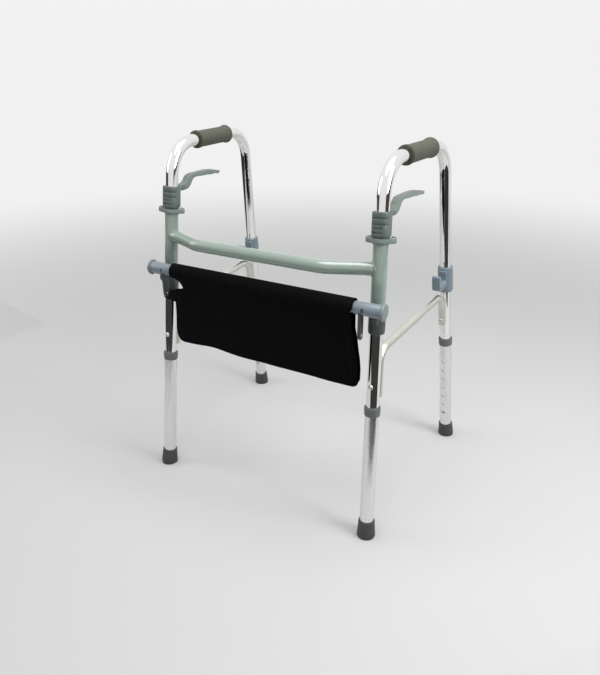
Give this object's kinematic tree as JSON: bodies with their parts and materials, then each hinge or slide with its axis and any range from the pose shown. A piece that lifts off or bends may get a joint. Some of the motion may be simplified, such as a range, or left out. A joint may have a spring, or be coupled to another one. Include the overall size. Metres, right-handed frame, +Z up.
{
  "type": "folding walking frame",
  "caption": "Folding walking frame with bent side frames, bowed crossbar, hanging cloth sling, finger-lever fold locks and height-adjustable legs on rubber tips.",
  "frame": {"origin": "on the floor, midway between the four tips", "axes": "+Z up, +Y towards the user (the open side), +X to the right seen from the front"},
  "size_m": [0.6134, 0.4896, 0.7624],
  "materials": {
    "chrome_tube": "mirror chrome",
    "satin_aluminium": "satin anodised",
    "brace_metal": "bright drawn tube",
    "sage_paint": "semi-gloss powder coat",
    "dark_plastic": "fine texture",
    "blue_grey_plastic": "fine texture",
    "bar_tube": "plain drawn tube",
    "sling_cloth": "matt woven cloth",
    "strap_webbing": "woven webbing",
    "tip_rubber": "matt",
    "grip_foam": "closed-cell foam",
    "fastener_steel": "plated",
    "spring_steel": "bright wire or strip"
  },
  "bodies": {
    "cross_frame": {"front_crossbar": "sage_paint", "left_leg_sleeve": "sage_paint", "right_leg_sleeve": "sage_paint", "left_lock_flange": "dark_plastic", "right_lock_flange": "dark_plastic", "left_seat_bracket": "dark_plastic", "right_seat_bracket": "dark_plastic", "left_finger_rivet": "fastener_steel", "right_finger_rivet": "fastener_steel", "seat_bar": "bar_tube", "left_bar_end_cap": "blue_grey_plastic", "right_bar_end_cap": "blue_grey_plastic", "seat_sling": "sling_cloth", "sling_strap": "strap_webbing"},
    "left_side_frame": {"left_frame_tube": "chrome_tube", "left_side_brace": "brace_metal", "left_hand_grip": "grip_foam", "left_rear_hook_clamp": "blue_grey_plastic", "left_clamp_screw": "fastener_steel", "left_front_brace_rivet": "fastener_steel", "left_rear_brace_rivet": "fastener_steel", "left_stop_ring": "dark_plastic", "left_lock_spring": "spring_steel", "left_front_snap_spring": "spring_steel", "left_rear_snap_spring": "spring_steel"},
    "left_release_collar": {"left_lock_collar": "dark_plastic", "left_lever_pin": "fastener_steel"},
    "left_release_lever": {"left_release_lever": "dark_plastic"},
    "left_front_leg_extension": {"left_front_leg_tube": "satin_aluminium", "left_front_ring_collar": "dark_plastic", "left_front_rubber_tip": "tip_rubber"},
    "left_front_snap_button_body": {"left_front_snap_button": "fastener_steel"},
    "left_rear_leg_extension": {"left_rear_leg_tube": "satin_aluminium", "left_rear_ring_collar": "dark_plastic", "left_rear_rubber_tip": "tip_rubber"},
    "left_rear_snap_button_body": {"left_rear_snap_button": "fastener_steel"},
    "right_side_frame": {"right_frame_tube": "chrome_tube", "right_side_brace": "brace_metal", "right_hand_grip": "grip_foam", "right_rear_hook_clamp": "blue_grey_plastic", "right_clamp_screw": "fastener_steel", "right_front_brace_rivet": "fastener_steel", "right_rear_brace_rivet": "fastener_steel", "right_stop_ring": "dark_plastic", "right_lock_spring": "spring_steel", "right_front_snap_spring": "spring_steel", "right_rear_snap_spring": "spring_steel"},
    "right_release_collar": {"right_lock_collar": "dark_plastic", "right_lever_pin": "fastener_steel"},
    "right_release_lever": {"right_release_lever": "dark_plastic"},
    "right_front_leg_extension": {"right_front_leg_tube": "satin_aluminium", "right_front_ring_collar": "dark_plastic", "right_front_rubber_tip": "tip_rubber"},
    "right_front_snap_button_body": {"right_front_snap_button": "fastener_steel"},
    "right_rear_leg_extension": {"right_rear_leg_tube": "satin_aluminium", "right_rear_ring_collar": "dark_plastic", "right_rear_rubber_tip": "tip_rubber"},
    "right_rear_snap_button_body": {"right_rear_snap_button": "fastener_steel"}
  },
  "joints": [
    {"name": "left_side_fold", "type": "hinge", "parent": "cross_frame", "child": "left_side_frame", "pos_m": [-0.2628, -0.2258, 0], "axis": [-0.0394, -0.0977, -0.9944], "range_deg": [0, 88]},
    {"name": "left_release_slide", "type": "slide", "parent": "left_side_frame", "child": "left_release_collar", "axis": [0.0394, 0.0977, 0.9944], "range_m": [0, 0.008], "stiffness_N_per_m": 500, "springref_m": -0.008, "deforming": ["left_lock_spring"]},
    {"name": "left_lever_pivot", "type": "hinge", "parent": "left_release_collar", "child": "left_release_lever", "pos_m": [-0.23864, -0.13164, 0.65228], "axis": [0.9975, 0.0551, -0.0449], "range_deg": [0, 15]},
    {"name": "left_front_height", "type": "slide", "parent": "left_side_frame", "child": "left_front_leg_extension", "axis": [-0.0394, -0.0977, -0.9944], "range_m": [0, 0.1778]},
    {"name": "left_front_snap_button_press", "type": "slide", "parent": "left_side_frame", "child": "left_front_snap_button_body", "axis": [0.0591, -0.9937, 0.0953], "range_m": [0, 0.0035], "stiffness_N_per_m": 800, "springref_m": -0.002, "deforming": ["left_front_snap_spring"]},
    {"name": "left_rear_height", "type": "slide", "parent": "left_side_frame", "child": "left_rear_leg_extension", "axis": [-0.0519, 0.1329, -0.9898], "range_m": [0, 0.1778]},
    {"name": "left_rear_snap_button_press", "type": "slide", "parent": "left_side_frame", "child": "left_rear_snap_button_body", "axis": [-0.0485, 0.9896, 0.1354], "range_m": [0, 0.0035], "stiffness_N_per_m": 800, "springref_m": -0.002, "deforming": ["left_rear_snap_spring"]},
    {"name": "right_side_fold", "type": "hinge", "parent": "cross_frame", "child": "right_side_frame", "pos_m": [0.2628, -0.2258, 0], "axis": [-0.0394, 0.0977, 0.9944], "range_deg": [0, 60]},
    {"name": "right_release_slide", "type": "slide", "parent": "right_side_frame", "child": "right_release_collar", "axis": [-0.0394, 0.0977, 0.9944], "range_m": [0, 0.008], "stiffness_N_per_m": 500, "springref_m": -0.008, "deforming": ["right_lock_spring"]},
    {"name": "right_lever_pivot", "type": "hinge", "parent": "right_release_collar", "child": "right_release_lever", "pos_m": [0.23864, -0.13164, 0.65228], "axis": [0.9975, -0.0551, 0.0449], "range_deg": [0, 15]},
    {"name": "right_front_height", "type": "slide", "parent": "right_side_frame", "child": "right_front_leg_extension", "axis": [0.0394, -0.0977, -0.9944], "range_m": [0, 0.1778]},
    {"name": "right_front_snap_button_press", "type": "slide", "parent": "right_side_frame", "child": "right_front_snap_button_body", "axis": [-0.0591, -0.9937, 0.0953], "range_m": [0, 0.0035], "stiffness_N_per_m": 800, "springref_m": -0.002, "deforming": ["right_front_snap_spring"]},
    {"name": "right_rear_height", "type": "slide", "parent": "right_side_frame", "child": "right_rear_leg_extension", "axis": [0.0519, 0.1329, -0.9898], "range_m": [0, 0.1778]},
    {"name": "right_rear_snap_button_press", "type": "slide", "parent": "right_side_frame", "child": "right_rear_snap_button_body", "axis": [0.0485, 0.9896, 0.1354], "range_m": [0, 0.0035], "stiffness_N_per_m": 800, "springref_m": -0.002, "deforming": ["right_rear_snap_spring"]}
  ],
  "couplings": [
    {"joint": "left_lever_pivot", "follows": "left_release_slide", "rad_per_m": 32.7},
    {"joint": "right_lever_pivot", "follows": "right_release_slide", "rad_per_m": 32.7}
  ]
}
